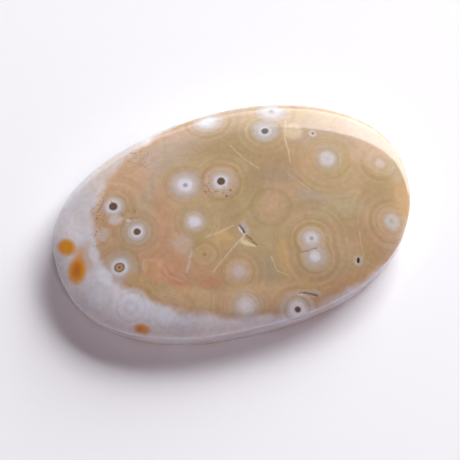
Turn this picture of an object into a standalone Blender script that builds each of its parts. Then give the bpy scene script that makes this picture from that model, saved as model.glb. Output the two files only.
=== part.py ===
"""A polished oval pocket stone of ocean jasper, one solid piece, modelled at its real size.

The stone lies on its flat ground back. +X runs along the oval, +Z is up, and the wall stands
most nearly upright on the -Y side. The origin is the middle of the stone's footprint, on the surface
that it rests on. From the back upwards the stone is a flat face, a wall that curves out from a rounded
foot to the girdle, where the stone is widest, and a low dome that is nearly flat in the middle.
"""

import math

import bmesh
import bpy
from mathutils import Vector

# Driving dimensions, in metres
LENGTH = 0.0600
WIDTH = 0.0386
GIRDLE_HEIGHT = 0.0045
DOME_HEIGHT = 0.0038

# The outline: an oval a little fuller than an ellipse, ground by hand and so slightly uneven,
# with (lobes, share of the radius, angle of the first lobe) for each unevenness
FULLNESS = 2.26
UNEVENNESS = (
    (3, 0.0060, math.radians(-57)),
    (4, 0.0040, math.radians(9)),
    (5, 0.0057, math.radians(11)),
)

# The dome falls as a power of the share of the way out, and rounds over into the girdle
DOME_FLATNESS = 3.6
DOME_SHOULDER = 0.8

# The wall is a quarter of a full oval from the girdle in to the foot, narrowest where it stands
# nearly upright
WALL_FULLNESS = 3.0
WALL_LEAN = 0.0026
UPRIGHT_LEAN = 0.0004
UPRIGHT_AT = math.radians(-92)
UPRIGHT_SPREAD = math.radians(55)

# How finely the skin is divided
AROUND = 112
EYE_SHARE = 0.12
DOME_RINGS = 16
WALL_RINGS = 8
CREASE_ANGLE = math.radians(35)

STONE_COLOUR = (0.47, 0.33, 0.19, 1.0)
STONE_ROUGHNESS = 0.12


def outline_point(angle):
    """A point of the girdle's widest line at this angle round the oval, before it is centred."""
    along, across = abs(math.cos(angle)), abs(math.sin(angle))
    radius = (along**FULLNESS + across**FULLNESS) ** (-1 / FULLNESS)
    radius *= 1 + sum(share * math.cos(lobes * (angle - first)) for lobes, share, first in UNEVENNESS)
    return Vector((LENGTH / 2 * radius * math.cos(angle), WIDTH / 2 * radius * math.sin(angle)))


def centred_outline(angles):
    """The outline's points, scaled and moved so that they fill LENGTH by WIDTH about the origin."""
    points = [outline_point(angle) for angle in angles]
    low = Vector((min(p.x for p in points), min(p.y for p in points)))
    high = Vector((max(p.x for p in points), max(p.y for p in points)))
    middle = (low + high) / 2
    grow_x = LENGTH / (high.x - low.x)
    grow_y = WIDTH / (high.y - low.y)
    return [Vector(((p.x - middle.x) * grow_x, (p.y - middle.y) * grow_y)) for p in points]


def inward_directions(points):
    """The unit direction into the stone at each outline point."""
    directions = []
    for i in range(AROUND):
        tangent = points[(i + 1) % AROUND] - points[i - 1]
        directions.append(Vector((-tangent.y, tangent.x)).normalized())
    return directions


def foot_inset(angle):
    """How far the foot lies inside the girdle at this angle."""
    turn = math.remainder(angle - UPRIGHT_AT, 2 * math.pi)
    upright = math.exp(-((turn / UPRIGHT_SPREAD) ** 2))
    return WALL_LEAN + (UPRIGHT_LEAN - WALL_LEAN) * upright


def dome_rings(points):
    """Rings from round the apex down to the girdle, closer together towards the girdle."""
    rings = []
    for i in range(DOME_RINGS):
        out = EYE_SHARE + (1 - EYE_SHARE) * math.sin(math.pi / 2 * i / (DOME_RINGS - 1))
        height = GIRDLE_HEIGHT + DOME_HEIGHT * (1 - out**DOME_FLATNESS) ** DOME_SHOULDER
        rings.append([(*(p * out), height) for p in points])
    return rings


def wall_rings(points, inward, insets):
    """Rings from just under the girdle to the edge of the flat back."""
    rings = []
    for i in range(1, WALL_RINGS + 1):
        turn = math.pi / 2 * i / WALL_RINGS
        narrowing = 1 - max(math.cos(turn), 0) ** (2 / WALL_FULLNESS)
        height = GIRDLE_HEIGHT * (1 - math.sin(turn) ** (2 / WALL_FULLNESS))
        rings.append([(*(p + n * inset * narrowing), height) for p, n, inset in zip(points, inward, insets)])
    return rings


def loop_through(mesh, ring):
    """A closed loop of edges through the ring's places."""
    verts = [mesh.verts.new(place) for place in ring]
    edges = [mesh.edges.new((verts[i - 1], verts[i])) for i in range(len(verts))]
    return verts, edges


def stone_mesh():
    """The whole stone as one closed skin, bridged ring by ring from the apex down to the flat back."""
    angles = [2 * math.pi * i / AROUND for i in range(AROUND)]
    points = centred_outline(angles)
    inward = inward_directions(points)
    insets = [foot_inset(angle) for angle in angles]
    rings = dome_rings(points) + wall_rings(points, inward, insets)
    mesh = bmesh.new()
    loops = [loop_through(mesh, ring) for ring in rings]
    for (_, upper), (_, lower) in zip(loops, loops[1:]):
        bmesh.ops.bridge_loops(mesh, edges=upper + lower)
    eye = mesh.faces.new(loops[0][0])
    apex = bmesh.ops.poke(mesh, faces=[eye])["verts"][0]
    apex.co = (0, 0, GIRDLE_HEIGHT + DOME_HEIGHT)
    back = mesh.faces.new(loops[-1][0])
    bmesh.ops.poke(mesh, faces=[back])
    bmesh.ops.recalc_face_normals(mesh, faces=mesh.faces)
    return mesh


def stone_material():
    material = bpy.data.materials.new("polished_jasper")
    material.use_nodes = True
    surface = material.node_tree.nodes["Principled BSDF"]
    surface.inputs["Base Color"].default_value = STONE_COLOUR
    surface.inputs["Roughness"].default_value = STONE_ROUGHNESS
    surface.inputs["Metallic"].default_value = 0.0
    return material


def main():
    for old in list(bpy.data.objects):
        bpy.data.objects.remove(old)
    mesh = stone_mesh()
    data = bpy.data.meshes.new("jasper_stone")
    mesh.to_mesh(data)
    mesh.free()
    data.materials.append(stone_material())
    data.shade_smooth()
    data.set_sharp_from_angle(angle=CREASE_ANGLE)
    stone = bpy.data.objects.new("jasper_stone", data)
    bpy.context.scene.collection.objects.link(stone)


main()
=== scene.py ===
import math

import bmesh
import bpy
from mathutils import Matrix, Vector, noise


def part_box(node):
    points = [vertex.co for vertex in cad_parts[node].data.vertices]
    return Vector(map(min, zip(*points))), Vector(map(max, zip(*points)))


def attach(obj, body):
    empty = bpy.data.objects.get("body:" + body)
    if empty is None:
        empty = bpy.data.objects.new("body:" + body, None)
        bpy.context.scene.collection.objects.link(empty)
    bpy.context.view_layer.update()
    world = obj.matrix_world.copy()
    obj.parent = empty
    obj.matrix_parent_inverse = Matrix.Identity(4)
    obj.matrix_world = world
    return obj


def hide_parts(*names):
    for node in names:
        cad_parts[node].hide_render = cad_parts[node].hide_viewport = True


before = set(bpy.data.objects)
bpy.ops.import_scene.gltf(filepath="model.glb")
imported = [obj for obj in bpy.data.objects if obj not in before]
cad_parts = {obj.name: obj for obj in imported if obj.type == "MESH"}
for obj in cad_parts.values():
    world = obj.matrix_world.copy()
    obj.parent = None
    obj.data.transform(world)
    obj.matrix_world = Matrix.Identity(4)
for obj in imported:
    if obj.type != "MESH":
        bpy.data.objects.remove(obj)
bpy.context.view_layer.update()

mm = 0.001
scene = bpy.context.scene
print("frame loaded")


def addNode(tree, kind, inputs, **settings):
    # a shader node, its settings, and its inputs: each a plain value or another node's output
    made = tree.nodes.new("ShaderNode" + kind)
    for name, value in settings.items():
        setattr(made, name, value)
    for key, value in inputs.items():
        if isinstance(value, bpy.types.NodeSocket):
            tree.links.new(value, made.inputs[key])
        else:
            made.inputs[key].default_value = value
    return made


def ramped(tree, value, low, high):
    # 0 at low and 1 at high, eased at both ends
    inputs = {"Value": value, "From Min": low, "From Max": high}
    return addNode(tree, "MapRange", inputs, interpolation_type="SMOOTHSTEP").outputs["Result"]


def maths(tree, operation, first, second=0.0, third=0.0):
    return addNode(tree, "Math", {0: first, 1: second, 2: third}, operation=operation).outputs["Value"]


def mixed(tree, factor, first, second):
    inputs = {"Factor": factor, "A": first, "B": second}
    return addNode(tree, "Mix", inputs, data_type="RGBA").outputs["Result"]


def times(tree, first, second):
    return maths(tree, "MULTIPLY", first, second)


def scaled(tree, value, by, added):
    return maths(tree, "MULTIPLY_ADD", value, by, added)


def vectors(tree, operation, inputs, gives="Vector"):
    # a sum with places: another place or, with "Value", a distance, a length or a share
    return addNode(tree, "VectorMath", inputs, operation=operation).outputs[gives]


def clouds(tree, place, scale, detail, gives="Fac"):
    return addNode(tree, "TexNoise", {"Vector": place, "Scale": scale, "Detail": detail}).outputs[gives]


def cloudsAlong(tree, place, along, detail):
    # noise with a fourth direction, which rings are read along
    inputs = {"Vector": place, "W": along, "Scale": 1.0, "Detail": detail}
    return addNode(tree, "TexNoise", inputs, noise_dimensions="4D").outputs["Fac"]


def makeGroup(name, takes, gives):
    # an empty node group with these sockets, ready to be filled
    tree = bpy.data.node_groups.new(name, "ShaderNodeTree")
    for way, sockets in (("INPUT", takes), ("OUTPUT", gives)):
        for label, kind in sockets.items():
            tree.interface.new_socket(label, in_out=way, socket_type="NodeSocket" + kind)
    return tree, tree.nodes.new("NodeGroupInput").outputs, tree.nodes.new("NodeGroupOutput").inputs


# The camera looks down on the stone from the front left, with a long lens
cameraPlan = {
    "azimuth": math.radians(-16.71),
    "elevation": math.radians(68),
    "distance": 0.4212,
    "target": Vector((-0.91, -1.41, 4.0)) * mm,
    "lens": 200,
    "sensor": 36,
    "clipStart": 0.01,
    "frameSide": 460,  # the photo's side in pixels, for places read off it
}


def cameraAxes():
    azimuth, elevation = cameraPlan["azimuth"], cameraPlan["elevation"]
    back = Vector((
        math.sin(azimuth) * math.cos(elevation),
        -math.cos(azimuth) * math.cos(elevation),
        math.sin(elevation),
    ))
    right = Vector((math.cos(azimuth), math.sin(azimuth), 0))
    return back, right, back.cross(right)


def makeCamera():
    back = cameraAxes()[0]
    data = bpy.data.cameras.new("camera")
    data.lens = cameraPlan["lens"]
    data.sensor_width = cameraPlan["sensor"]
    data.clip_start = cameraPlan["clipStart"]
    camera = bpy.data.objects.new("camera", data)
    camera.location = cameraPlan["target"] + back * cameraPlan["distance"]
    camera.rotation_mode = "QUATERNION"
    camera.rotation_quaternion = (-back).to_track_quat("-Z", "Y")
    scene.collection.objects.link(camera)
    scene.camera = camera


makeCamera()
print("camera placed")


# The stone's form: the same oval, dome and wall as its solid, worked out much finer
boxLow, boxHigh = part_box("jasper_stone")
stoneForm = {
    "length": boxHigh[0] - boxLow[0],
    "width": boxHigh[1] - boxLow[1],
    "height": boxHigh[2] - boxLow[2],
    "girdleHeight": 4.5 * mm,
    "fullness": 2.26,
    # lobes round the oval, share of the radius, angle of the first lobe
    "unevenness": (
        (3, 0.0060, math.radians(-57)),
        (4, 0.0040, math.radians(9)),
        (5, 0.0057, math.radians(11)),
    ),
    "domeFlatness": 3.6,
    "domeShoulder": 0.8,
    "wallFullness": 3.0,
    "wallLean": 2.6 * mm,
    "uprightLean": 0.4 * mm,
    "uprightAt": math.radians(-92),
    "uprightSpread": math.radians(55),
    "side": 150,  # squares along each side of the dome's net
    "wallRings": 30,
    "fitPoints": 720,
}


def rawOutline(angle):
    form = stoneForm
    along, across = abs(math.cos(angle)), abs(math.sin(angle))
    radius = (along ** form["fullness"] + across ** form["fullness"]) ** (-1 / form["fullness"])
    uneven = sum(share * math.cos(lobes * (angle - first)) for lobes, share, first in form["unevenness"])
    radius *= 1 + uneven
    return form["length"] / 2 * radius * math.cos(angle), form["width"] / 2 * radius * math.sin(angle)


def outlineFit():
    # where the raw outline's middle is and how much it is stretched to fill the solid's box
    count = stoneForm["fitPoints"]
    points = [rawOutline(2 * math.pi * i / count) for i in range(count)]
    low = [min(p[k] for p in points) for k in (0, 1)]
    high = [max(p[k] for p in points) for k in (0, 1)]
    middle = [(low[k] + high[k]) / 2 for k in (0, 1)]
    grow = [stoneForm["length"] / (high[0] - low[0]), stoneForm["width"] / (high[1] - low[1])]
    return middle, grow


outlineMiddle, outlineGrow = outlineFit()


def outlineAt(angle):
    raw = rawOutline(angle)
    return Vector([(raw[k] - outlineMiddle[k]) * outlineGrow[k] for k in (0, 1)])


def inwardAt(angle):
    step = 0.004  # radians
    tangent = outlineAt(angle + step) - outlineAt(angle - step)
    return Vector((-tangent.y, tangent.x)).normalized()


def footInset(angle):
    turn = math.remainder(angle - stoneForm["uprightAt"], 2 * math.pi)
    upright = math.exp(-((turn / stoneForm["uprightSpread"]) ** 2))
    return stoneForm["wallLean"] + (stoneForm["uprightLean"] - stoneForm["wallLean"]) * upright


def domeHeight(share):
    rise = stoneForm["height"] - stoneForm["girdleHeight"]
    fall = max(0, 1 - share ** stoneForm["domeFlatness"])
    return stoneForm["girdleHeight"] + rise * fall ** stoneForm["domeShoulder"]


def domePoint(angle, share):
    flat = outlineAt(angle) * share
    return Vector((flat.x, flat.y, domeHeight(share)))


def wallPoint(angle, share):
    turn = math.pi / 2 * share
    power = 2 / stoneForm["wallFullness"]
    inset = footInset(angle) * (1 - max(0, math.cos(turn)) ** power)
    flat = outlineAt(angle) + inwardAt(angle) * inset
    return Vector((flat.x, flat.y, stoneForm["girdleHeight"] * (1 - math.sin(turn) ** power)))


def squareToRound(u, v):
    # a square net laid on the oval without a pole: share of the way out, and the angle
    share = max(abs(u), abs(v))
    if share == 0:
        return 0, 0
    if abs(u) >= abs(v):
        angle = math.pi / 4 * v / u + (0 if u > 0 else math.pi)
    else:
        angle = math.pi / 2 - math.pi / 4 * u / v + (0 if v > 0 else math.pi)
    return share, angle


def stoneMesh():
    # a net over the dome, rings down the wall, and a net over the flat back
    side = stoneForm["side"]
    mesh = bmesh.new()

    def net(place):
        verts = {}
        for i in range(side + 1):
            for j in range(side + 1):
                share, angle = squareToRound(2 * i / side - 1, 2 * j / side - 1)
                verts[i, j] = mesh.verts.new(place(angle, share))
        for i in range(side):
            for j in range(side):
                mesh.faces.new((verts[i, j], verts[i + 1, j], verts[i + 1, j + 1], verts[i, j + 1]))
        border = [(i, 0) for i in range(side)] + [(side, j) for j in range(side)]
        border += [(i, side) for i in range(side, 0, -1)] + [(0, j) for j in range(side, 0, -1)]
        return [verts[key] for key in border], border

    upper, border = net(lambda angle, share: domePoint(angle, math.sin(math.pi / 2 * share)))
    angles = [squareToRound(2 * i / side - 1, 2 * j / side - 1)[1] for i, j in border]
    rings = stoneForm["wallRings"]
    for ring in range(1, rings + 1):
        lower = [mesh.verts.new(wallPoint(angle, ring / rings)) for angle in angles]
        for k in range(len(lower)):
            mesh.faces.new((upper[k - 1], lower[k - 1], lower[k], upper[k]))
        upper = lower

    def backPoint(angle, share):
        foot = wallPoint(angle, 1)
        return Vector((foot.x * share, foot.y * share, 0))

    backEdge, _ = net(backPoint)
    bmesh.ops.weld_verts(mesh, targetmap={b: w for b, w in zip(backEdge, upper)})
    bmesh.ops.recalc_face_normals(mesh, faces=mesh.faces)
    return mesh


def onStone(pixel):
    # the place on the dome that the camera sees at a pixel of the photo
    back, right, up = cameraAxes()
    plan = cameraPlan
    start = plan["target"] + back * plan["distance"]
    scale = plan["sensor"] / plan["lens"] / plan["frameSide"]
    half = plan["frameSide"] / 2
    ray = -back + right * (pixel[0] - half) * scale - up * (pixel[1] - half) * scale
    height = stoneForm["height"]
    for _ in range(40):  # closes in on the height of the dome there
        point = start + ray * ((height - start.z) / ray.z)
        angle = math.atan2(point.y, point.x)
        share = min(1, point.xy.length / outlineReach(angle))
        height = (height + domeHeight(share)) / 2
    return point


def outlineReach(direction):
    # how far the outline is from the middle in this direction, by closing in on its angle
    angle = direction
    for _ in range(8):
        p = outlineAt(angle)
        angle += math.remainder(direction - math.atan2(p.y, p.x), 2 * math.pi)
    return outlineAt(angle).length


# Small hollows in the polish, each along a line through pixels of the photo, in millimetres
hollows = [
    {"through": [(239.5, 226), (244, 232.5)], "reach": 0.36, "depth": 0.14},
    {"through": [(244, 240), (252, 243.5)], "reach": 0.55, "depth": 0.08},
    {"through": [(358, 259.5), (358, 262)], "reach": 0.34, "depth": 0.34},
    {"through": [(299, 293.5), (307, 293), (317, 296)], "reach": 0.26, "depth": 0.12},
    {"through": [(312.3, 132.8), (312.7, 134.2)], "reach": 0.20, "depth": 0.14},
    {"through": [(127, 154.5), (130, 153), (136, 153)], "reach": 0.16, "depth": 0.05},
    {"through": [(300, 252.5), (307, 251), (316, 248)], "reach": 0.14, "depth": 0.05},
    {"through": [(240, 239), (232, 248), (226, 256)], "reach": 0.14, "depth": 0.04},
    {"through": [(357, 215), (360, 238), (363, 258)], "reach": 0.12, "depth": 0.03},
]


# The hand polish, which is slightly wavy, and the fine net round a hollow
handPolish = {
    "waveReach": 7 * mm,
    "waveHeight": 0.012 * mm,
    "waveLayer": 0.003,
    "waveEnd": 8,  # the waves die out towards the girdle, later the higher this power is
    "hollowCuts": 5,
    "hollowSpare": 0.3 * mm,
}


def awayFromLine(point, places):
    nearest = 1.0  # a metre, beyond any line
    for start, end in zip(places, places[1:]):
        run, offset = end - start, point - start
        share = min(1, max(0, offset.dot(run) / run.length_squared))
        nearest = min(nearest, (offset - run * share).length)
    return nearest


def onDome(flat):
    # the height of the polished dome over a place, with the slight waviness of hand polishing
    share = min(1, flat.length / outlineReach(math.atan2(flat.y, flat.x)))
    plan = handPolish
    wave = noise.noise(Vector((flat.x, flat.y, plan["waveLayer"])) / plan["waveReach"])
    return domeHeight(share) + plan["waveHeight"] * (wave * (1 - share ** plan["waveEnd"]))


def sinkHollows(mesh):
    # divides the dome finely round each hollow and lowers it there
    spare = handPolish["hollowSpare"]
    for hollow in hollows:
        places = [onStone(pixel).xy for pixel in hollow["through"]]
        reach = hollow["reach"] * mm
        middle = sum(places, Vector((0, 0))) / len(places)
        wide = max((place - middle).length for place in places) + reach + spare
        near = []
        for face in mesh.faces:
            centre = face.calc_center_median()
            if centre.z > stoneForm["girdleHeight"] and (centre.xy - middle).length < wide:
                if awayFromLine(centre.xy, places) < reach + spare:
                    near.append(face)
        edges = list({edge for face in near for edge in face.edges})
        cuts = handPolish["hollowCuts"]
        made = bmesh.ops.subdivide_edges(mesh, edges=edges, cuts=cuts, use_grid_fill=True)["geom"]
        verts = set()
        for part in made:
            verts.update([part] if isinstance(part, bmesh.types.BMVert) else part.verts)
        for vert in verts:
            share = max(0, 1 - awayFromLine(vert.co.xy, places) / reach)
            vert.co.z = onDome(vert.co.xy) - hollow["depth"] * mm * share * share * (3 - 2 * share)


def makeStone():
    mesh = stoneMesh()
    for vert in mesh.verts:
        if vert.co.z > stoneForm["girdleHeight"]:
            vert.co.z = onDome(vert.co.xy)
    sinkHollows(mesh)
    data = bpy.data.meshes.new("jasper_polished")
    mesh.to_mesh(data)
    mesh.free()
    data.shade_smooth()
    stone = bpy.data.objects.new("jasper_polished", data)
    scene.collection.objects.link(stone)
    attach(stone, "root")
    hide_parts("jasper_stone")
    return stone


stone = makeStone()
print("stone formed:", len(stone.data.polygons), "faces")


# The jasper's colours, as a screen shows them from 0 to 255
palette = {
    "tan": (188, 159, 126),
    "olive": (179, 156, 117),
    "sage": (178, 160, 128),
    "stoneGrey": (173, 157, 137),
    "mauve": (193, 170, 155),
    "salmon": (194, 148, 118),
    "coral": (203, 134, 98),
    "apricot": (210, 158, 120),
    "ochre": (200, 167, 120),
    "brown": (176, 142, 106),
    "paleOchre": (212, 180, 140),
    "peach": (200, 163, 130),
    "pink": (197, 166, 148),
    "cream": (213, 194, 164),
    "white": (216, 214, 222),
    "pinkWhite": (203, 195, 196),
    "mist": (189, 182, 180),
    "smoke": (229, 232, 242),
    "lavender": (232, 226, 228),
    "greyLavender": (215, 212, 219),
    "blueGrey": (150, 156, 170),
    "coreGrey": (100, 96, 98),
    "coreBrown": (100, 75, 56),
    "darkRim": (110, 84, 62),
    "rust": (150, 92, 58),
    "amber": (226, 153, 2),
    "burntAmber": (206, 104, 8),
    "crack": (112, 78, 52),
    "wallShade": (212, 198, 200),
    "chip": (206, 190, 150),
    "slate": (138, 126, 128),
    "ochreShade": (160, 134, 98),
    "ringShade": (163, 134, 90),
    "ringLight": (197, 174, 146),
    "yellowRing": (186, 162, 106),
    "pinkRing": (193, 156, 132),
}


def tone(name):
    # a palette colour made linear
    return (*[((level / 255 + 0.055) / 1.055) ** 2.4 for level in palette[name]], 1)


# The orbs: a pixel of the photo at each one's centre, or a place on the hidden sides in millimetres, and
# its rings from the middle out, each a radius in millimetres, a colour and how strongly it covers. Rings
# run on outside those that have a rim
orbs = [
    {"seenAt": (265, 131), "rim": 1.7, "rings": [
        (0.44, "coreGrey", 1), (0.72, "pinkWhite", 1), (0.95, "pinkWhite", 0.95), (1.2, "mist", 0.85),
        (1.55, "mist", 0.7), (2.1, "mist", 0.4), (2.6, "sage", 0.35), (3.1, "ochre", 0.3),
        (3.6, "sage", 0.3), (4.3, "sage", 0)]},
    {"seenAt": (271.5, 111.5), "rim": 1.9, "rings": [
        (0, "slate", 1), (0.2, "blueGrey", 0.9), (0.5, "mist", 0.8), (0.9, "pinkWhite", 1),
        (1.3, "pinkWhite", 0.85), (2, "mist", 0.7), (3, "mist", 0)]},
    {"seenAt": (208, 122), "rim": 1.6, "rings": [
        (0.8, "white", 1), (1.3, "white", 0.7), (2, "pinkWhite", 0.5), (3.2, "mist", 0)]},
    {"seenAt": (185, 185), "rim": 1.7, "rings": [
        (0, "blueGrey", 1), (0.2, "blueGrey", 0.9), (0.5, "white", 0.9), (0.8, "white", 1),
        (1.1, "white", 0.85), (1.45, "pinkWhite", 0.75), (1.9, "mist", 0.7), (2.4, "mist", 0.45),
        (2.8, "mauve", 0.4), (3.4, "sage", 0)]},
    {"seenAt": (221, 181.5), "rim": 2.3, "rings": [
        (0, "darkRim", 1), (0.3, "coreBrown", 1), (0.56, "coreBrown", 1), (0.75, "pinkWhite", 1),
        (0.95, "white", 0.85), (1.2, "pinkWhite", 0.75), (1.5, "mist", 0.65), (1.9, "mauve", 0.6),
        (2.3, "mauve", 0.3), (2.55, "pink", 0.55), (2.85, "sage", 0.35), (3.3, "olive", 0)]},
    {"seenAt": (194.5, 221.5), "rim": 1.7, "rings": [
        (0, "white", 0.95), (0.7, "white", 0.85), (1, "pinkWhite", 0.8), (1.4, "mist", 0.55),
        (1.8, "mauve", 0.45), (2.2, "sage", 0.6), (2.55, "sage", 0.5), (2.9, "olive", 0.3),
        (3.4, "olive", 0)]},
    {"seenAt": (113, 206.5), "rim": 1.6, "rings": [
        (0, "coreBrown", 1), (0.2, "darkRim", 1), (0.42, "coreBrown", 1), (0.58, "coreBrown", 1),
        (0.8, "pinkWhite", 1), (1, "white", 0.85), (1.3, "pinkWhite", 0.75), (1.6, "mist", 0.6),
        (2, "mauve", 0.45), (2.6, "mauve", 0)]},
    {"seenAt": (136.5, 232), "rim": 1.9, "rings": [
        (0, "coreBrown", 1), (0.2, "darkRim", 1), (0.46, "coreBrown", 1), (0.66, "pinkWhite", 1),
        (0.9, "white", 0.9), (1.15, "mist", 0.9), (1.45, "mist", 0.75), (1.7, "stoneGrey", 0.7),
        (1.95, "mist", 0.5), (2.2, "pink", 0.6), (2.5, "sage", 0.5), (2.75, "tan", 0.3),
        (3.1, "olive", 0.4), (3.6, "pink", 0)]},
    {"seenAt": (119.5, 267.5), "rim": 1.8, "rings": [
        (0.1, "coreBrown", 1), (0.28, "brown", 0.9), (0.56, "brown", 0.9), (0.7, "darkRim", 0.7),
        (0.78, "darkRim", 0.5), (0.96, "white", 1), (1.25, "white", 0.9), (1.5, "pinkWhite", 0.75),
        (1.9, "mist", 0.6), (2.4, "mauve", 0.5), (3.2, "mauve", 0)]},
    {"seenAt": (311.5, 238.5), "rim": 1.9, "rings": [
        (0, "blueGrey", 0.9), (0.16, "blueGrey", 0.8), (0.42, "pinkWhite", 1), (0.65, "white", 0.85),
        (1, "pinkWhite", 0.9), (1.4, "mist", 0.75), (1.8, "mauve", 0.4), (2.6, "mauve", 0)]},
    {"seenAt": (315, 256.5), "rim": 1.9, "rings": [
        (0, "smoke", 0.8), (0.3, "white", 0.85), (0.7, "white", 0.75), (1.1, "mist", 0.75),
        (1.6, "mist", 0.5), (2.2, "mauve", 0.3), (3, "mauve", 0)]},
    {"seenAt": (327.5, 158.5), "rim": 1.8, "rings": [
        (0, "mist", 0.9), (0.4, "pinkWhite", 1), (0.8, "pinkWhite", 1), (1.15, "pinkWhite", 0.7),
        (1.5, "mist", 0.5), (2, "sage", 0.5), (2.4, "mauve", 0.35), (2.8, "sage", 0.4),
        (3.3, "ochre", 0.35), (3.8, "sage", 0.3), (4.5, "sage", 0)]},
    {"seenAt": (379.5, 163.5), "rim": 1.2, "rings": [
        (0, "pinkWhite", 0.6), (0.5, "pinkWhite", 0.45), (1, "mauve", 0.5), (1.5, "sage", 0.4),
        (2, "mauve", 0.3), (2.6, "tan", 0)]},
    {"seenAt": (391.5, 221.5), "rim": 1.8, "rings": [
        (0, "blueGrey", 0.5), (0.35, "mist", 0.7), (0.75, "mist", 0.95), (1.05, "mist", 0.8),
        (1.35, "mauve", 0.6), (1.8, "mauve", 0.4), (2.4, "pink", 0.3), (3, "brown", 0)]},
    {"seenAt": (271, 207), "rings": [
        (0, "mauve", 0.6), (1, "peach", 0.5), (1.7, "tan", 0.6), (2.1, "peach", 0.3), (2.6, "olive", 0.3),
        (3.2, "ochreShade", 0.35), (3.9, "olive", 0.2), (4.6, "olive", 0)]},
    {"seenAt": (239, 271.5), "rim": 1.6, "rings": [
        (0, "pinkWhite", 0.85), (0.6, "pinkWhite", 0.6), (1.2, "mauve", 0.8), (1.7, "pink", 0.6),
        (2.1, "peach", 0.5), (2.8, "tan", 0)]},
    {"seenAt": (204.5, 254), "rim": 1.2, "rings": [
        (0, "rust", 0.55), (0.3, "rust", 0.35), (0.6, "tan", 0.4), (0.9, "brown", 0.3), (1.3, "tan", 0.4),
        (1.9, "ochre", 0.2), (2.2, "ochre", 0)]},
    {"seenAt": (182, 243), "rings": [
        (0, "mauve", 0.9), (0.9, "mauve", 0.7), (2.6, "mauve", 0)]},
    {"seenAt": (297.5, 309.5), "rim": 1.6, "rings": [
        (0, "coreBrown", 1), (0.2, "darkRim", 1), (0.36, "darkRim", 1), (0.66, "lavender", 0.9),
        (0.9, "smoke", 0.9), (1.2, "lavender", 0.8), (1.6, "greyLavender", 0.55), (2.1, "mist", 0.4),
        (2.5, "lavender", 0.35), (3.2, "lavender", 0)]},
    {"seenAt": (312.5, 133.5), "rings": [
        (0, "slate", 0.7), (0.18, "slate", 0.55), (0.4, "smoke", 0.35), (0.9, "mauve", 0)]},
    {"seenAt": (358, 261), "rings": [
        (0.22, "crack", 1), (0.42, "mist", 0.8), (0.65, "mist", 0.5), (1.1, "mauve", 0)]},
    {"seenAt": (246, 306), "rim": 1.5, "rings": [
        (0, "smoke", 0.8), (0.6, "smoke", 0.7), (1.2, "smoke", 0.5), (1.8, "pinkWhite", 0.5),
        (3, "mist", 0)]},
    {"seenAt": (131, 307), "rim": 2, "rings": [
        (0, "smoke", 0.5), (1.1, "greyLavender", 0.5), (1.5, "smoke", 0.6), (2, "smoke", 0.5),
        (2.4, "greyLavender", 0.4), (2.8, "smoke", 0.35), (3.4, "smoke", 0)]},
    {"seenAt": (98, 299), "rim": 2.2, "rings": [
        (0, "smoke", 0.5), (1.4, "smoke", 0.4), (2, "greyLavender", 0.5), (2.8, "smoke", 0)]},
    {"seenAt": (167, 317), "rim": 1.5, "rings": [
        (0, "smoke", 0.9), (0.8, "smoke", 0.7), (2, "lavender", 0)]},
    {"at": (13, 6, 0), "rim": 1.9, "rings": [
        (0.5, "coreBrown", 1), (0.75, "pinkWhite", 1), (1.2, "white", 0.9), (2, "mist", 0.5),
        (3, "mauve", 0)]},
    {"at": (19, -3, 0), "rim": 1.7, "rings": [
        (0, "white", 1), (0.9, "white", 0.8), (1.6, "mist", 0.6), (2.6, "mauve", 0)]},
    {"at": (4, -5, 0), "rim": 2.2, "rings": [
        (0, "blueGrey", 1), (0.3, "white", 0.9), (1.2, "pinkWhite", 0.9), (2, "mist", 0.6),
        (3, "tan", 0)]},
    {"at": (-5, 7, 0), "rim": 1.5, "rings": [
        (0, "pinkWhite", 0.9), (0.8, "mist", 0.7), (1.6, "mauve", 0.4), (2.4, "tan", 0)]},
    {"at": (-11, -4, 0), "rim": 2, "rings": [
        (0.45, "coreGrey", 1), (0.75, "white", 1), (1.3, "pinkWhite", 0.8), (2.4, "mist", 0)]},
    {"at": (-20, 3, 0), "rim": 1.8, "rings": [
        (0, "smoke", 0.8), (1.2, "greyLavender", 0.6), (2, "smoke", 0.5), (2.8, "smoke", 0)]},
    {"at": (2, 19, 3), "rim": 1.4, "rings": [
        (0, "blueGrey", 1), (0.3, "white", 1), (1.1, "white", 0.8), (2, "mist", 0)]},
    {"at": (-14, 16, 3.4), "rim": 1.4, "rings": [
        (0, "smoke", 0.9), (0.9, "smoke", 0.6), (1.8, "lavender", 0)]},
    {"at": (18, 15.5, 2.6), "rim": 1.3, "rings": [
        (0.4, "coreBrown", 1), (0.6, "white", 1), (1.1, "pinkWhite", 0.8), (1.9, "mist", 0)]},
    {"seenAt": (292.5, 131), "rings": [
        (1.3, "cream", 0.6), (1.6, "cream", 0.25), (2.2, "mist", 0)]},
]


def patch(colour, strength, reach, seenAt, turn=0, core=0.3):
    # a soft oval: its colour, how strongly it covers, how far it reaches along and across the stone in
    # millimetres, the pixel of the photo at its middle, its turn in degrees, and the share that is solid
    mark = {"colour": colour, "strength": strength, "reach": reach, "seenAt": seenAt}
    return {**mark, "turn": turn, "core": core}


def fracture(colour, strength, width, through):
    # a healed fracture: its width is in millimetres, and it runs through these pixels of the photo
    return {"colour": colour, "strength": strength, "width": width, "through": through}


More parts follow.
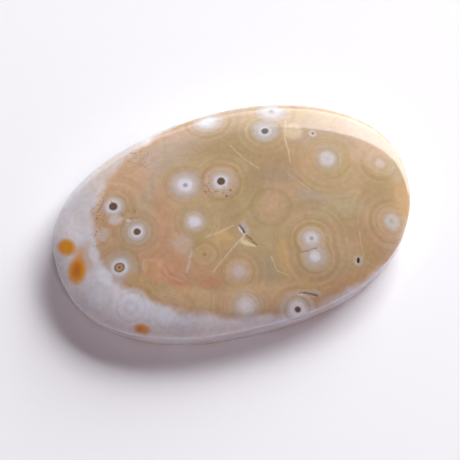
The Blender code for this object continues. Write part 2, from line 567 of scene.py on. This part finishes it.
# Broad tints under the rings
tints = [
    patch("sage", 0.8, (6.5, 2.4), seenAt=(338, 204)),
    patch("stoneGrey", 0.8, (3.6, 1.4), seenAt=(312, 196), turn=15),
    patch("stoneGrey", 0.7, (4.2, 2), seenAt=(280, 173)),
    patch("olive", 0.8, (3.2, 6), seenAt=(245, 205)),
    patch("olive", 0.8, (7, 3), seenAt=(262, 240)),
    patch("mauve", 0.6, (8, 3.2), seenAt=(172, 152), turn=-30),
    patch("stoneGrey", 0.45, (6, 3), seenAt=(165, 158), turn=-30),
    patch("ochreShade", 0.55, (10, 3.5), seenAt=(238, 142), turn=-10),
    patch("ochreShade", 0.5, (6, 3.5), seenAt=(275, 167), turn=10),
    patch("ochreShade", 0.5, (3.5, 6), seenAt=(378, 192), turn=-10),
    patch("ochreShade", 0.35, (2, 5), seenAt=(231, 212)),
    # Painted highlight: two pale strips along the far rim, where it mirrors the bright room at a grazing
    # angle
    patch("pinkWhite", 0.5, (7, 1.1), seenAt=(240, 108), turn=-12),
    patch("pinkWhite", 0.5, (8, 1.2), seenAt=(312, 106), turn=5),
    patch("pinkWhite", 0.8, (1.8, 5.5), seenAt=(397, 240), turn=25),
    patch("pink", 0.6, (4, 2.2), seenAt=(312, 134)),
    patch("mauve", 0.6, (3, 6.5), seenAt=(146, 178)),
    patch("salmon", 0.6, (2, 7), seenAt=(163, 215)),
    patch("salmon", 0.5, (3, 5.5), seenAt=(172, 243), turn=20),
    patch("salmon", 0.75, (5, 2.2), seenAt=(160, 257), turn=22),
    patch("salmon", 0.7, (6, 2.6), seenAt=(190, 272), turn=12),
    patch("apricot", 0.8, (2.9, 2), seenAt=(157, 271), turn=35, core=0.75),
    patch("coral", 0.45, (2.4, 0.9), seenAt=(172, 277), turn=38, core=0.1),
    patch("coral", 0.7, (2.4, 1.1), seenAt=(182, 287), turn=12, core=0.1),
    patch("paleOchre", 0.8, (12, 2.4), seenAt=(185, 299), turn=5),
    patch("ochre", 0.9, (5, 2.2), seenAt=(136, 284), turn=35),
    patch("paleOchre", 0.85, (10, 2.6), seenAt=(262, 296), turn=-8),
    patch("peach", 0.9, (5, 4), seenAt=(125, 182), turn=-50),
    patch("peach", 0.75, (3.2, 8), seenAt=(104, 228)),
    patch("brown", 0.8, (4, 6), seenAt=(385, 247), turn=-60),
    patch("apricot", 0.4, (7, 2.4), seenAt=(350, 284), turn=-28),
    patch("pink", 0.7, (6, 3), seenAt=(365, 150), turn=25),
    patch("brown", 0.6, (1.8, 4), seenAt=(402, 202)),
    patch("stoneGrey", 0.35, (1.7, 3.6), seenAt=(269, 268), turn=-15),
    patch("ochre", 0.7, (1.4, 3.4), seenAt=(286, 258), turn=-10, core=0.6),
    patch("ochre", 0.6, (4.2, 1.5), seenAt=(310, 284), turn=8, core=0.5),
    patch("ochre", 0.7, (1.8, 1.8), seenAt=(224, 240), turn=-40, core=0.6),
    patch("ochreShade", 0.5, (1.2, 0.8), seenAt=(133, 279), turn=20),
    patch("coral", 0.45, (2.4, 1.3), seenAt=(212, 283), turn=-8),
    patch("peach", 0.5, (4, 4), seenAt=(303, 160)),
    # Pink tone of the stone, lightened here as painted glow of the far rim in the light from behind
    patch("pink", 0.5, (7, 1.8), seenAt=(232, 118), turn=-15),
    patch("pink", 0.8, (4.5, 1.6), seenAt=(180, 134), turn=-20),
    patch("stoneGrey", 0.45, (7, 2.6), seenAt=(318, 138), turn=8),
    patch("ochreShade", 0.3, (6, 2), seenAt=(330, 140), turn=14),
    patch("ochreShade", 0.4, (2.4, 3.2), seenAt=(252, 184)),
    patch("stoneGrey", 0.6, (1.6, 3), seenAt=(396, 172), turn=-20),
    patch("ochreShade", 0.3, (3, 2), seenAt=(304, 206)),
    patch("ochreShade", 0.35, (2, 2.6), seenAt=(228, 252), turn=-30),
    patch("ochreShade", 0.35, (3.4, 3), seenAt=(290, 152)),
    patch("ochreShade", 0.35, (4, 2.6), seenAt=(355, 226)),
    # Painted highlight: three thin cream strips along the top right rim, whitening the edge where the
    # window is mirrored
    patch("cream", 0.6, (6, 0.7), seenAt=(356, 119), turn=22, core=0.1),
    patch("cream", 0.6, (6, 0.7), seenAt=(384, 133), turn=36, core=0.1),
    patch("cream", 0.6, (5, 0.7), seenAt=(401, 153), turn=56, core=0.1),
    patch("ochre", 0.6, (1.6, 4), seenAt=(402, 199), turn=-8, core=0.1),
]

# Pale seams, and a few rusty and dark ones
seams = [
    fracture("cream", 0.55, 0.1, through=[(231, 146), (245, 160), (258, 168)]),
    fracture("cream", 0.6, 0.15, through=[(285, 121), (284.5, 138), (288, 150), (290, 163)]),
    fracture("cream", 0.35, 0.1, through=[(286, 172), (298, 181), (311, 190)]),
    fracture("cream", 0.55, 0.14, through=[(206, 237), (222, 231.5), (233, 225)]),
    fracture("cream", 0.5, 0.15, through=[(246, 233), (240, 239), (232, 248), (223, 259), (214, 272)]),
    fracture("pinkWhite", 0.55, 0.12, through=[(245, 234.5), (239.5, 239.5), (234, 246)]),
    fracture("pinkWhite", 0.4, 0.24, through=[(191.5, 252), (189.5, 258), (189.5, 265), (187, 272)]),
    fracture("pinkWhite", 0.25, 0.14, through=[(144, 259), (142.5, 266), (144, 272)]),
    fracture("pink", 0.6, 0.18, through=[(144, 260), (157, 260), (162, 267), (168, 276), (184, 282)]),
    fracture("cream", 0.55, 0.13, through=[(271, 256), (274, 262), (278, 271), (288, 275)]),
    fracture("cream", 0.7, 0.12, through=[(298, 296), (303, 291), (310, 292)]),
    fracture("cream", 0.6, 0.1, through=[(302, 295), (312, 297), (320, 296)]),
    fracture("crack", 0.5, 0.2, through=[(303, 293), (310, 294), (317, 296)]),
    fracture("cream", 0.45, 0.1, through=[(357, 215), (360, 238), (363, 258)]),
    fracture("pink", 0.5, 0.09, through=[(325, 224), (327, 234), (333, 242)]),
    fracture("crack", 0.5, 0.12, through=[(299, 253), (307, 251), (316, 248)]),
    fracture("crack", 0.2, 0.08, through=[(328, 199), (348, 199)]),
    fracture("crack", 0.7, 0.1, through=[(127, 154.5), (130, 153), (135, 154), (136, 152.5)]),
    fracture("rust", 0.3, 0.09, through=[(126, 160), (132, 163), (138, 163), (146, 167)]),
    fracture("rust", 0.7, 0.1, through=[(205, 183), (208, 187), (210, 192)]),
    fracture("rust", 0.4, 0.14, through=[(104, 201), (101, 207), (97, 213)]),
    fracture("rust", 0.9, 0.13, through=[(246, 235), (252, 240), (257, 245)]),
    fracture("cream", 0.7, 0.1, through=[(240, 242), (248, 245), (257, 246.5)]),
]

# Details that lie over the rings: the slash and its chip, the pit, the crack, pale clouds
spots = [
    patch("mist", 0.6, (1.5, 0.9), seenAt=(244, 228), turn=60, core=0.1),
    patch("slate", 0.9, (0.95, 0.28), seenAt=(241.5, 229), turn=56, core=0.6),
    patch("crack", 0.7, (0.35, 0.25), seenAt=(243, 232), turn=56),
    patch("chip", 0.9, (0.85, 0.52), seenAt=(245, 240.8), turn=30, core=0.75),
    patch("chip", 0.9, (0.85, 0.28), seenAt=(251.5, 243.8), turn=30, core=0.7),
    patch("coreBrown", 1, (0.5, 0.24), seenAt=(357.8, 260.5), turn=95, core=0.7),
    patch("pinkWhite", 0.45, (2.2, 0.55), seenAt=(311, 292.5), turn=4, core=0.4),
    patch("greyLavender", 0.5, (1.3, 1), seenAt=(115, 220)),
    patch("pinkWhite", 0.5, (1, 1.2), seenAt=(103, 235), core=0.5),
    patch("smoke", 0.45, (0.9, 1.7), seenAt=(94, 254), turn=-20, core=0.2),
    patch("white", 0.6, (0.5, 0.35), seenAt=(128, 220.5)),
    patch("lavender", 0.5, (4.2, 0.6), seenAt=(356, 298), turn=-30, core=0.2),
    patch("smoke", 0.8, (1.3, 2), seenAt=(105, 277), turn=-30, core=0.2),
    patch("peach", 0.45, (2.6, 0.9), seenAt=(322, 302), turn=-24, core=0.2),
    patch("ochre", 0.6, (1.5, 0.9), seenAt=(133, 279), turn=25, core=0.1),
    patch("salmon", 0.35, (1.2, 0.7), seenAt=(330, 229), turn=20, core=0.1),
]

# Clusters of fine specks
speckles = [
    patch("rust", 0.75, (1.3, 3.4), seenAt=(99, 213), turn=10),
    patch("rust", 0.6, (1.6, 1.6), seenAt=(106, 203)),
    patch("rust", 0.6, (2.2, 1.8), seenAt=(128, 213)),
    patch("rust", 0.6, (3, 2), seenAt=(136, 158), turn=20),
    patch("rust", 0.85, (1.3, 2.2), seenAt=(207, 185), turn=-15),
    patch("crack", 0.8, (2.4, 1.6), seenAt=(224, 192)),
    patch("rust", 0.6, (1.4, 2.2), seenAt=(98, 240)),
    patch("rust", 0.25, (8, 2), seenAt=(150, 290), turn=18),
]

# Colours in the pale margin: pink and mauve clouds, then the iron stains
stains = [
    patch("pinkWhite", 0.7, (2.6, 5), seenAt=(85, 205), core=0.1),
    patch("peach", 0.55, (1.8, 3.4), seenAt=(86, 258), core=0.1),
    patch("mauve", 0.65, (7, 2.6), seenAt=(114, 168), turn=-48, core=0.2),
    patch("smoke", 0.6, (7, 2), seenAt=(158, 308), turn=18, core=0.2),
    patch("amber", 1, (1.85, 1.5), seenAt=(66, 247), turn=30, core=0.5),
    patch("amber", 0.45, (1.1, 1.5), seenAt=(79, 253), turn=-30, core=0.1),
    patch("amber", 1, (1.7, 2.5), seenAt=(77.5, 270), core=0.5),
    patch("burntAmber", 0.75, (0.9, 1.3), seenAt=(78, 270), core=0.1),
    patch("amber", 0.85, (1.5, 0.85), seenAt=(142, 329), turn=10),
    patch("burntAmber", 0.35, (0.7, 0.5), seenAt=(140, 329), core=0.1),
]


def onTone(tree, factor, under, name):
    return mixed(tree, factor, under, tone(name))


def inMillimetres(place):
    return tuple(place / mm)


def findMarks():
    # where each marking of the photo lies on the dome, in millimetres
    for mark in orbs + tints + stains + spots + speckles:
        mark["centre"] = mark["at"] if "at" in mark else inMillimetres(onStone(mark["seenAt"]))
    for seam in seams:
        seam["centres"] = [inMillimetres(onStone(pixel)) for pixel in seam["through"]]


# How far the rings and the single marks stray from true shapes: a noise's scale and its reach
strayPlan = {"rings": (0.22, 0.55), "marks": (1.6, 0.20)}
broadScale = 0.12  # of the clouds of tan and olive


def wandering(tree, point, scale, reach):
    stray = clouds(tree, point, scale, 2.0, "Color")
    stray = vectors(tree, "SUBTRACT", {0: stray, 1: (0.5, 0.5, 0.5)})
    return vectors(tree, "MULTIPLY_ADD", {0: stray, 1: (reach,) * 3, 2: point})


def distanceTo(tree, point, place):
    return vectors(tree, "DISTANCE", {0: point, 1: place}, "Value")


def heldFor(tree, point, under):
    # the same place, worked out only after the colour under it: this keeps a long chain of marks small
    barely = (1e-6,) * 3
    return vectors(tree, "MULTIPLY_ADD", {0: under, 1: barely, 2: point})


# The rings that run round the orbs. In this and the next plans a pair says where a mask begins and
# where it is full, and lengths are in millimetres
ringPlan = {
    "openField": 12.0,  # what the field starts from, far from any orb
    "merge": 1.0,  # how softly the rings of neighbours flow together
    "drift": 0.05,  # how slowly the rings change across the stone
    "pace": 1.5,  # how quickly they follow each other outwards
    "dark": (0.50, 0.41),
    "light": (0.52, 0.61),
    "outside": (3.0, 0.3),  # outside an orb's rim, where they fade
    "outsideFade": (0.6, 0.3),  # times the one, and the other added
    "inside": (-0.7, 0.0),
    "patchScale": 0.3,
    "patches": (0.35, 0.6),
    "patchFade": (0.6, 0.4),
    "huePace": 0.9,
    "hueStart": 40.0,  # reads the hues from another part of the noise than the rings
    "hueStrength": 0.5,
    "hues": {"yellowRing": (0.48, 0.40), "pinkRing": (0.52, 0.60)},
}


def makeNearerGroup():
    # the lesser of a field and how far each point is outside a circle, flowing together
    takes = {"Point": "Vector", "Field": "Float", "Centre": "Vector", "Rim": "Float"}
    tree, given, result = makeGroup("nearer", takes, {"Field": "Float"})
    outside = maths(tree, "SUBTRACT", distanceTo(tree, given["Point"], given["Centre"]), given["Rim"])
    tree.links.new(maths(tree, "SMOOTH_MIN", given["Field"], outside, ringPlan["merge"]), result["Field"])
    return tree


def ringField(tree, point):
    # how far outside the nearest orb's rim each point is, in millimetres, with neighbours flowing together
    field = ringPlan["openField"]
    group = makeNearerGroup()
    for orb in orbs:
        if "rim" in orb:
            inputs = {"Point": point, "Field": field, "Centre": orb["centre"], "Rim": orb["rim"]}
            field = addNode(tree, "Group", inputs, node_tree=group).outputs["Field"]
    return field


def stonePlaces(tree):
    # the places, the height and the broad clouds that the markings are read from
    place = addNode(tree, "TexCoord", {}).outputs["Object"]
    place = vectors(tree, "SCALE", {0: place, "Scale": 1 / mm})
    coarse = wandering(tree, place, *strayPlan["rings"])
    point = wandering(tree, coarse, *strayPlan["marks"])
    return {
        "place": place,
        "coarse": coarse,  # strays as the rings do
        "point": point,  # strays a little more, for the single marks
        "field": ringField(tree, coarse),
        "height": vectors(tree, "DOT_PRODUCT", {0: point, 1: (0, 0, 1)}, "Value"),
        "drift": vectors(tree, "SCALE", {0: coarse, "Scale": ringPlan["drift"]}),
        "broad": clouds(tree, coarse, broadScale, 2.0),
    }


def ringMasks(tree, at):
    # dark and light rings: a line of noise read along the field, which drifts slowly across the stone
    plan = ringPlan
    bands = cloudsAlong(tree, at["drift"], times(tree, at["field"], plan["pace"]), 2.0)
    patches = ramped(tree, clouds(tree, at["coarse"], plan["patchScale"], 2.0), *plan["patches"])
    fade = scaled(tree, ramped(tree, at["field"], *plan["outside"]), *plan["outsideFade"])
    fade = times(tree, fade, scaled(tree, patches, *plan["patchFade"]))
    fade = times(tree, fade, ramped(tree, at["field"], *plan["inside"]))
    dark = times(tree, ramped(tree, bands, *plan["dark"]), fade)
    light = times(tree, ramped(tree, bands, *plan["light"]), fade)
    return dark, light, fade


# The tan body: where it turns olive, and how strongly the rings show on it
bodyPlan = {"olive": (0.38, 0.62), "darkRings": 0.75, "lightRings": 0.65}


def bodyLaid(tree, at, rings):
    plan = bodyPlan
    dark, light, fade = rings
    body = mixed(tree, ramped(tree, at["broad"], *plan["olive"]), tone("tan"), tone("olive"))
    for tint in tints:
        body = tintLaid(tree, at["point"], body, tint)
    body = onTone(tree, times(tree, dark, plan["darkRings"]), body, "ringShade")
    body = onTone(tree, times(tree, light, plan["lightRings"]), body, "ringLight")
    along = scaled(tree, at["field"], ringPlan["huePace"], ringPlan["hueStart"])
    hues = cloudsAlong(tree, at["drift"], along, 1.0)
    for name, ends in ringPlan["hues"].items():
        mask = times(tree, ramped(tree, hues, *ends), times(tree, fade, ringPlan["hueStrength"]))
        body = onTone(tree, mask, body, name)
    return body


# The pale margin, which is streaked along the wall, with painted shade on the shoulder above the girdle and
# a painted highlight along the girdle's ridge, each a band of heights
marginPlan = {
    "grey": (0.40, 0.60),
    "darkRings": 0.6,
    "lightRings": 0.5,
    "wall": {"rising": (0.1, 0.9), "falling": (4.5, 4.0)},
    "layers": (0.10, 0.10, 2.6),  # the streaks lie level
    "streaks": (0.42, 0.60),
    "streakStrength": 0.75,
    "bands": [
        # Painted shade: the shoulder just above the girdle, darker where it turns away from the lamps
        {"rising": (4.7, 5.1), "falling": (6.6, 5.7), "colour": "wallShade", "strength": 0.25},
        # Painted highlight: a bright line along the girdle's ridge, where the polished edge catches the
        # light
        {"rising": (4.1, 4.3), "falling": (4.75, 4.55), "colour": "smoke", "strength": 0.8},
    ],
}


def bandOf(tree, height, band):
    # a band of heights with soft ends
    return times(tree, ramped(tree, height, *band["rising"]), ramped(tree, height, *band["falling"]))


def wallMasks(tree, at):
    layered = vectors(tree, "MULTIPLY", {0: at["coarse"], 1: marginPlan["layers"]})
    return clouds(tree, layered, 1.0, 3.0), bandOf(tree, at["height"], marginPlan["wall"])


def marginLaid(tree, at, rings, streaks, wall):
    plan = marginPlan
    dark, light, _ = rings
    margin = mixed(tree, ramped(tree, at["broad"], *plan["grey"]), tone("lavender"), tone("greyLavender"))
    margin = onTone(tree, times(tree, dark, plan["darkRings"]), margin, "greyLavender")
    margin = onTone(tree, times(tree, light, plan["lightRings"]), margin, "smoke")
    streaked = mixed(tree, ramped(tree, streaks, *plan["streaks"]), tone("wallShade"), tone("lavender"))
    margin = mixed(tree, times(tree, wall, plan["streakStrength"]), margin, streaked)
    # Painted shade on the shoulder and a painted highlight on the ridge
    for band in plan["bands"]:
        mask = times(tree, bandOf(tree, at["height"], band), band["strength"])
        margin = onTone(tree, mask, margin, band["colour"])
    for stain in stains:
        margin = tintLaid(tree, at["point"], margin, stain)
    return margin


# Where the tan gives way to the margin: an oval on the dome with an uneven edge, and patches underneath
capPlan = {
    "centre": (5.4, 0.8, 0),
    "reach": (28.5, 19.3),  # along and across
    "scallopScale": 0.35,
    "scallopDepth": 0.10,
    "edge": (1.03, 0.96),
    "above": (4.0, 4.45),
    "beneath": (0.9, 0.2),
    "patches": (0.44, 0.50),
    "rusty": (0.93, 0.975),
    "rustyStrength": 0.45,
}


def capMasks(tree, at):
    plan = capPlan
    along, across = plan["reach"]
    offset = vectors(tree, "SUBTRACT", {0: at["point"], 1: plan["centre"]})
    oval = vectors(tree, "MULTIPLY", {0: offset, 1: (1 / along, 1 / across, 0)})
    oval = vectors(tree, "LENGTH", {0: oval}, "Value")
    scallops = clouds(tree, at["place"], plan["scallopScale"], 3.0)
    depth = plan["scallopDepth"]
    edge = scaled(tree, scallops, depth, maths(tree, "SUBTRACT", oval, depth / 2))
    cap = times(tree, ramped(tree, edge, *plan["edge"]), ramped(tree, at["height"], *plan["above"]))
    patches = ramped(tree, at["broad"], *plan["patches"])
    beneath = times(tree, ramped(tree, at["height"], *plan["beneath"]), patches)
    rusty = times(tree, ramped(tree, edge, *plan["rusty"]), plan["rustyStrength"])
    return maths(tree, "MAXIMUM", cap, beneath), rusty


# How single marks are laid on
markPlan = {
    "tintEnd": 1.3,  # where a tint ends: the squared share of its reach
    "seamEdge": (1.5, 0.4),  # shares of a seam's width
    "seamsFrom": 50.0,  # beyond any seam
    "seamPatchScale": 1.1,
    "seamPatches": (0.20, 0.45),
    "speckScale": 2.3,
    "specks": (0.60, 0.70),
}


def orbLaid(tree, point, under, orb):
    span = orb["rings"][-1][0]
    away = maths(tree, "DIVIDE", distanceTo(tree, heldFor(tree, point, under), orb["centre"]), span)
    ramp = addNode(tree, "ValToRGB", {"Fac": away})
    ramp.color_ramp.interpolation = "EASE"
    stops = ramp.color_ramp.elements
    for count, (radius, colour, strength) in enumerate(orb["rings"]):
        stop = stops[count] if count < 2 else stops.new(radius / span)  # a new ramp has two stops
        stop.position = radius / span
        stop.color = (*tone(colour)[:3], strength)
    return mixed(tree, ramp.outputs["Alpha"], under, ramp.outputs["Color"])


def makeTintGroup():
    # an oval patch of one colour laid on another, fading towards its rim
    takes = {"Point": "Vector", "Under": "Color", "Centre": "Vector", "Along": "Vector", "Across": "Vector",
             "Core": "Float", "Strength": "Float", "Colour": "Color"}
    tree, given, result = makeGroup("tint", takes, {"Colour": "Color"})
    point = heldFor(tree, given["Point"], given["Under"])
    offset = vectors(tree, "SUBTRACT", {0: point, 1: given["Centre"]})
    squared = 0.0
    for aim in ("Along", "Across"):
        share = vectors(tree, "DOT_PRODUCT", {0: offset, 1: given[aim]}, "Value")
        squared = scaled(tree, share, share, squared)
    mask = times(tree, ramped(tree, squared, markPlan["tintEnd"], given["Core"]), given["Strength"])
    tree.links.new(mixed(tree, mask, given["Under"], given["Colour"]), result["Colour"])


def tintLaid(tree, point, under, tint, within=None):
    turn = cameraPlan["azimuth"] - math.radians(tint["turn"])
    along, across = tint["reach"]
    strength = tint["strength"] if within is None else times(tree, within, tint["strength"])
    inputs = {
        "Point": point, "Under": under, "Centre": tint["centre"],
        "Along": (math.cos(turn) / along, math.sin(turn) / along, 0),
        "Across": (-math.sin(turn) / across, math.cos(turn) / across, 0),
        "Core": tint["core"] ** 2, "Strength": strength, "Colour": tone(tint["colour"]),
    }
    return addNode(tree, "Group", inputs, node_tree=bpy.data.node_groups["tint"]).outputs["Colour"]


def makeStretchGroup():
    # the lesser of a distance and the one to a straight stretch of a seam
    takes = {"Point": "Vector", "Nearest": "Float", "Start": "Vector", "Run": "Vector", "Aim": "Vector"}
    tree, given, result = makeGroup("stretch", takes, {"Nearest": "Float"})
    offset = vectors(tree, "SUBTRACT", {0: given["Point"], 1: given["Start"]})
    share = vectors(tree, "DOT_PRODUCT", {0: offset, 1: given["Aim"]}, "Value")
    share = addNode(tree, "Clamp", {"Value": share}).outputs["Result"]
    foot = vectors(tree, "SCALE", {0: given["Run"], "Scale": share})
    away = distanceTo(tree, offset, foot)
    tree.links.new(maths(tree, "MINIMUM", given["Nearest"], away), result["Nearest"])


def seamDistance(tree, point, places):
    nearest = markPlan["seamsFrom"]
    group = bpy.data.node_groups["stretch"]
    for start, end in zip(places, places[1:]):
        run = Vector(end) - Vector(start)
        inputs = {"Point": point, "Nearest": nearest, "Start": start, "Run": tuple(run),
                  "Aim": tuple(run / run.length_squared)}
        nearest = addNode(tree, "Group", inputs, node_tree=group).outputs["Nearest"]
    return nearest


def seamLaid(tree, point, under, seam, patchy):
    away = seamDistance(tree, heldFor(tree, point, under), seam["centres"])
    line = ramped(tree, away, *[seam["width"] * share for share in markPlan["seamEdge"]])
    line = times(tree, line, times(tree, patchy, seam["strength"]))
    return onTone(tree, line, under, seam["colour"])


def marksLaid(tree, at, colour):
    # orbs, single spots, specks and seams, each over the last
    plan = markPlan
    point = at["point"]
    for orb in orbs:
        colour = orbLaid(tree, point, colour, orb)
    for spot in spots:
        colour = tintLaid(tree, point, colour, spot)
    specks = ramped(tree, clouds(tree, at["place"], plan["speckScale"], 1.0), *plan["specks"])
    for cluster in speckles:
        colour = tintLaid(tree, point, colour, cluster, specks)
    patchy = ramped(tree, clouds(tree, at["place"], plan["seamPatchScale"], 1.0), *plan["seamPatches"])
    for seam in seams:
        colour = seamLaid(tree, point, colour, seam, patchy)
    return colour


# The polish: a fine grain that shades it and sets its gloss, as a share of the grain and what is added
# to it, the relief of the wall's streaks, and how far light goes in
polishPlan = {
    "grainScale": 1.3,
    "shade": (0.30, 0.85),
    "gloss": (0.08, 0.04),
    "relief": 0.03 * mm,
    "IOR": 1.54,
    "Subsurface Weight": 0.6,
    "Subsurface Radius": (1.0, 0.75, 0.6),
    "Subsurface Scale": 2.5 * mm,
}


def polishLaid(tree, at, colour, relief):
    plan = polishPlan
    surface = tree.nodes["Principled BSDF"]
    grain = clouds(tree, at["coarse"], plan["grainScale"], 4.0)
    shade = scaled(tree, grain, *plan["shade"])
    colour = addNode(tree, "HueSaturation", {"Value": shade, "Color": colour}).outputs["Color"]
    tree.links.new(colour, surface.inputs["Base Color"])
    tree.links.new(scaled(tree, grain, *plan["gloss"]), surface.inputs["Roughness"])
    bump = addNode(tree, "Bump", {"Height": relief, "Distance": plan["relief"], "Strength": 1.0})
    tree.links.new(bump.outputs["Normal"], surface.inputs["Normal"])
    for name in ("IOR", "Subsurface Weight", "Subsurface Radius", "Subsurface Scale"):
        surface.inputs[name].default_value = plan[name]


def stoneMaterial():
    makeTintGroup()
    makeStretchGroup()
    material = bpy.data.materials.new("polishedJasper")
    material.use_nodes = True
    tree = material.node_tree
    at = stonePlaces(tree)
    rings = ringMasks(tree, at)
    body = bodyLaid(tree, at, rings)
    streaks, wall = wallMasks(tree, at)
    margin = marginLaid(tree, at, rings, streaks, wall)
    cap, rusty = capMasks(tree, at)
    colour = mixed(tree, cap, margin, onTone(tree, rusty, body, "peach"))
    colour = marksLaid(tree, at, colour)
    polishLaid(tree, at, colour, times(tree, streaks, wall))
    return material


findMarks()
stone.data.materials.append(stoneMaterial())
print("jasper coloured")


# Softboxes a metre away that light the stone and the table: how far round from +X and how high each one
# stands in degrees, its size in metres and its power in watts
lightPlan = {
    "high": {"turn": 41, "rise": 38, "size": (0.85, 0.35), "power": 10.1, "colour": (0.985, 1, 1.02)},
    "low": {"turn": 39, "rise": 20, "size": (0.8, 0.35), "power": 8.4, "colour": (0.985, 1, 0.97)},
    "front": {"turn": -97, "rise": 55, "size": (0.5, 0.5), "power": 2.65, "colour": (1, 0.81, 0.86)},
}
tablePlan = {"side": 6.0, "colour": (0.905, 0.905, 0.94, 1), "roughness": 0.7, "specular": 0.2}

# What the polish mirrors: a pale room, a glow low down behind the stone, and a long window behind it
# and to its right as the camera sees it. Turns are round from +X
roomPlan = {
    "horizon": (0.80, 0.80, 0.83, 1),
    "ceiling": (0.42, 0.40, 0.43, 1),
    "ceilingFrom": (0.10, 0.75),
    "haze": (0.95, 1.0, 1.1, 1),
    "hazeSpread": (0.50, 0.95),
    "glow": (3.0, 2.9, 2.8, 1),
    "glowTurn": math.radians(75),
    "glowSpread": (-0.3, 0.6),
    "glowHeight": (0.26, 0.06),
    "window": (7.6, 8.1, 9.0, 1),
    "windowTurn": math.radians(78),  # where the window's wall is nearest
    "windowFrom": math.radians(-10),  # its ends, to the right of there
    "windowTo": math.radians(69),
    "windowTop": math.radians(37),
    "startBlur": 0.80,
    "endBlur": 0.2,
    "topBlur": (0.01, -0.02),
}


def makeFloor():
    half = tablePlan["side"] / 2
    mesh = bmesh.new()
    corners = ((-half, -half), (half, -half), (half, half), (-half, half))
    mesh.faces.new([mesh.verts.new((x, y, 0)) for x, y in corners])
    data = bpy.data.meshes.new("floor")
    mesh.to_mesh(data)
    mesh.free()
    floor = bpy.data.objects.new("floor", data)
    scene.collection.objects.link(floor)
    material = bpy.data.materials.new("whiteTable")
    material.use_nodes = True
    surface = material.node_tree.nodes["Principled BSDF"]
    surface.inputs["Base Color"].default_value = tablePlan["colour"]
    surface.inputs["Roughness"].default_value = tablePlan["roughness"]
    surface.inputs["Specular IOR Level"].default_value = tablePlan["specular"]
    data.materials.append(material)


def makeSoftbox(name, box):
    # lights the stone and the table, but isn't mirrored in the polish
    turn, rise = math.radians(box["turn"]), math.radians(box["rise"])
    out = Vector((math.cos(turn) * math.cos(rise), math.sin(turn) * math.cos(rise), math.sin(rise)))
    data = bpy.data.lights.new(name, "AREA")
    data.shape = "RECTANGLE"
    data.size, data.size_y = box["size"]
    data.energy = box["power"]
    data.color = box["colour"]
    softbox = bpy.data.objects.new(name, data)
    softbox.location = out
    softbox.rotation_mode = "QUATERNION"
    softbox.rotation_quaternion = out.to_track_quat("Z", "Y")
    softbox.visible_camera = False
    softbox.visible_glossy = False
    scene.collection.objects.link(softbox)


def makeRoom():
    plan = roomPlan
    world = bpy.data.worlds.new("paleRoom")
    world.use_nodes = True
    world.cycles_visibility.diffuse = False
    tree = world.node_tree
    way = addNode(tree, "TexCoord", {}).outputs["Generated"]
    height = addNode(tree, "SeparateXYZ", {0: way}).outputs["Z"]

    def along(turn):
        return vectors(tree, "DOT_PRODUCT", {0: way, 1: (math.cos(turn), math.sin(turn), 0)}, "Value")

    colour = mixed(tree, ramped(tree, height, *plan["ceilingFrom"]), plan["horizon"], plan["ceiling"])
    behind = along(plan["glowTurn"])
    colour = mixed(tree, ramped(tree, behind, *plan["hazeSpread"]), colour, plan["haze"])
    glow = times(tree, ramped(tree, behind, *plan["glowSpread"]), ramped(tree, height, *plan["glowHeight"]))
    colour = mixed(tree, glow, colour, plan["glow"])

    ahead = along(plan["windowTurn"])
    divisor = maths(tree, "MAXIMUM", ahead, 0.001)
    aside = maths(tree, "DIVIDE", along(plan["windowTurn"] - math.pi / 2), divisor)
    top = maths(tree, "SUBTRACT", height, times(tree, ahead, math.tan(plan["windowTop"])))
    start, end = math.tan(plan["windowFrom"]), math.tan(plan["windowTo"])
    window = ramped(tree, top, *plan["topBlur"])
    window = times(tree, window, ramped(tree, aside, start, start + plan["startBlur"]))
    window = times(tree, window, ramped(tree, aside, end + plan["endBlur"], end))
    colour = mixed(tree, window, colour, plan["window"])
    tree.links.new(colour, tree.nodes["Background"].inputs["Color"])
    scene.world = world


makeFloor()
for name, box in lightPlan.items():
    makeSoftbox(name, box)
makeRoom()
scene.view_settings.view_transform = "Standard"
print("table and light set")
